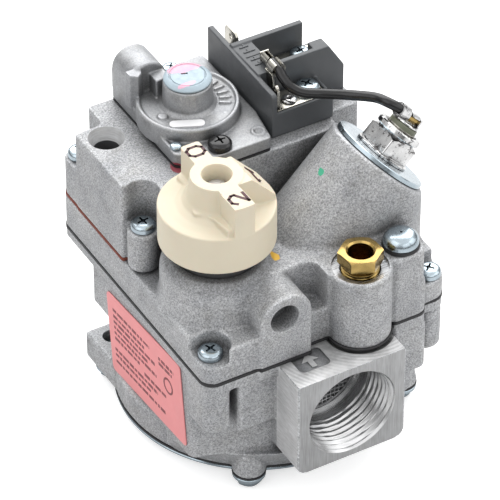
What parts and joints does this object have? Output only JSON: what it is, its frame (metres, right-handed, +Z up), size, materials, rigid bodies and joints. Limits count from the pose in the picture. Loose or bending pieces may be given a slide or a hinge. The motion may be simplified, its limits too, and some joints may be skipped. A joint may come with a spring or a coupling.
{
  "type": "gas valve",
  "caption": "Combination gas control valve: die-cast body with threaded ports, off-pilot-on knob, flame safety magnet, pressure regulator, pilot outlet and wiring terminals.",
  "frame": {"origin": "centre of the footprint at the lowest face, the heads of the bottom cover screws", "axes": "+Z up along the knob axis, -Y out of the gas inlet, +Y out of the gas outlet, -X towards the rating label"},
  "size_m": [0.0772, 0.1026, 0.0979],
  "materials": {
    "cast_aluminium": "as-cast, satin",
    "zinc_steel": "bright zinc plating",
    "steel": "plain",
    "nickel": "nickel plated",
    "brass": "machined",
    "ivory_plastic": "satin moulding",
    "grey_plastic": "satin moulding",
    "black_rubber": "matt",
    "fibre": "compressed fibre",
    "label_film": "printed film",
    "coil": "varnished winding"
  },
  "bodies": {
    "valve": {"block_gasket": "fibre", "body_gasket": "black_rubber", "body_screw_1": "zinc_steel", "body_screw_2": "zinc_steel", "body_screw_3": "zinc_steel", "body_screw_4": "zinc_steel", "body_screw_5": "zinc_steel", "bottom_cover": "zinc_steel", "cock_bonnet": "steel", "cover_screw_1": "zinc_steel", "cover_screw_2": "zinc_steel", "cover_screw_3": "zinc_steel", "cover_screw_4": "zinc_steel", "inlet_screen": "steel", "insulator_washer": "fibre", "lead_clip_block": "nickel", "lead_clip_magnet": "nickel", "lever_pin": "steel", "lower_body": "cast_aluminium", "magnet_body": "nickel", "magnet_lead": "black_rubber", "magnet_plate": "zinc_steel", "main_diaphragm": "black_rubber", "main_spring": "steel", "operator_coil": "coil", "pilot_nut": "brass", "pilot_plug": "zinc_steel", "plug_washer": "black_rubber", "power_unit_nut": "nickel", "rating_label": "label_film", "regulator_block": "cast_aluminium", "regulator_cap": "zinc_steel", "regulator_cover": "cast_aluminium", "regulator_diaphragm": "black_rubber", "regulator_screw_1": "grey_plastic", "regulator_screw_2": "zinc_steel", "regulator_screw_3": "zinc_steel", "regulator_spring": "steel", "spade_tab": "nickel", "terminal_block": "grey_plastic", "terminal_plate_front": "nickel", "terminal_plate_rear": "nickel", "terminal_rivet": "nickel", "terminal_screw_front": "zinc_steel", "terminal_screw_rear": "zinc_steel", "upper_body": "cast_aluminium"},
    "cock": {"cock_plug": "brass", "cock_spring": "steel"},
    "knob": {"knob": "ivory_plastic", "cock_stem": "steel"},
    "lever": {"reset_lever": "steel"},
    "safety": {"safety_valve": "steel", "safety_spring": "steel"},
    "main_valve": {"main_valve": "steel", "diaphragm_plate": "steel"},
    "regulator_plate": {"regulator_plate": "steel"},
    "adjuster": {"regulator_adjuster": "brass"},
    "pilot_adjuster": {"pilot_adjuster": "brass"},
    "flapper": {"operator_flapper": "steel"}
  },
  "joints": [
    {"name": "gas_cock", "type": "hinge", "parent": "valve", "child": "cock", "pos_m": [-0.022, -0.0183, 0.0559], "axis": [0, 0, 1], "range_deg": [0, 180]},
    {"name": "knob_push", "type": "slide", "parent": "cock", "child": "knob", "axis": [0, 0, -1], "range_m": [0, 0.004], "stiffness_N_per_m": 600, "springref_m": -0.004, "deforming": ["cock_spring"]},
    {"name": "reset_lever_swing", "type": "hinge", "parent": "valve", "child": "lever", "pos_m": [-0.0055, -0.0178, 0.0597], "axis": [0, -1, 0], "range_deg": [0, 14.5]},
    {"name": "safety_valve_lift", "type": "slide", "parent": "valve", "child": "safety", "axis": [0.7071, 0, 0.7071], "range_m": [0, 0.0028]},
    {"name": "main_valve_lift", "type": "slide", "parent": "valve", "child": "main_valve", "axis": [0, 0, 1], "range_m": [0, 0.0025], "stiffness_N_per_m": 200, "springref_m": -0.004, "deforming": ["main_spring"]},
    {"name": "regulator_travel", "type": "slide", "parent": "valve", "child": "regulator_plate", "axis": [0, 0, 1], "range_m": [-0.0005, 0.0005], "stiffness_N_per_m": 400, "deforming": ["regulator_spring"]},
    {"name": "regulator_adjust", "type": "hinge", "parent": "valve", "child": "adjuster", "pos_m": [-0.0099, 0.0182, 0.0915], "axis": [0, 0, 1], "range_deg": [-720, 720]},
    {"name": "pilot_adjust", "type": "hinge", "parent": "valve", "child": "pilot_adjuster", "pos_m": [0.0215, -0.0374, 0.0559], "axis": [0, 0, 1], "range_deg": [-540, 540]},
    {"name": "operator_flap", "type": "hinge", "parent": "valve", "child": "flapper", "pos_m": [0.003, 0.023, 0.0588], "axis": [0, -1, 0], "range_deg": [0, 7]}
  ],
  "couplings": [
    {"joint": "reset_lever_swing", "follows": "knob_push", "rad_per_m": 60.6},
    {"joint": "safety_valve_lift", "follows": "knob_push", "ratio": 0.65}
  ]
}
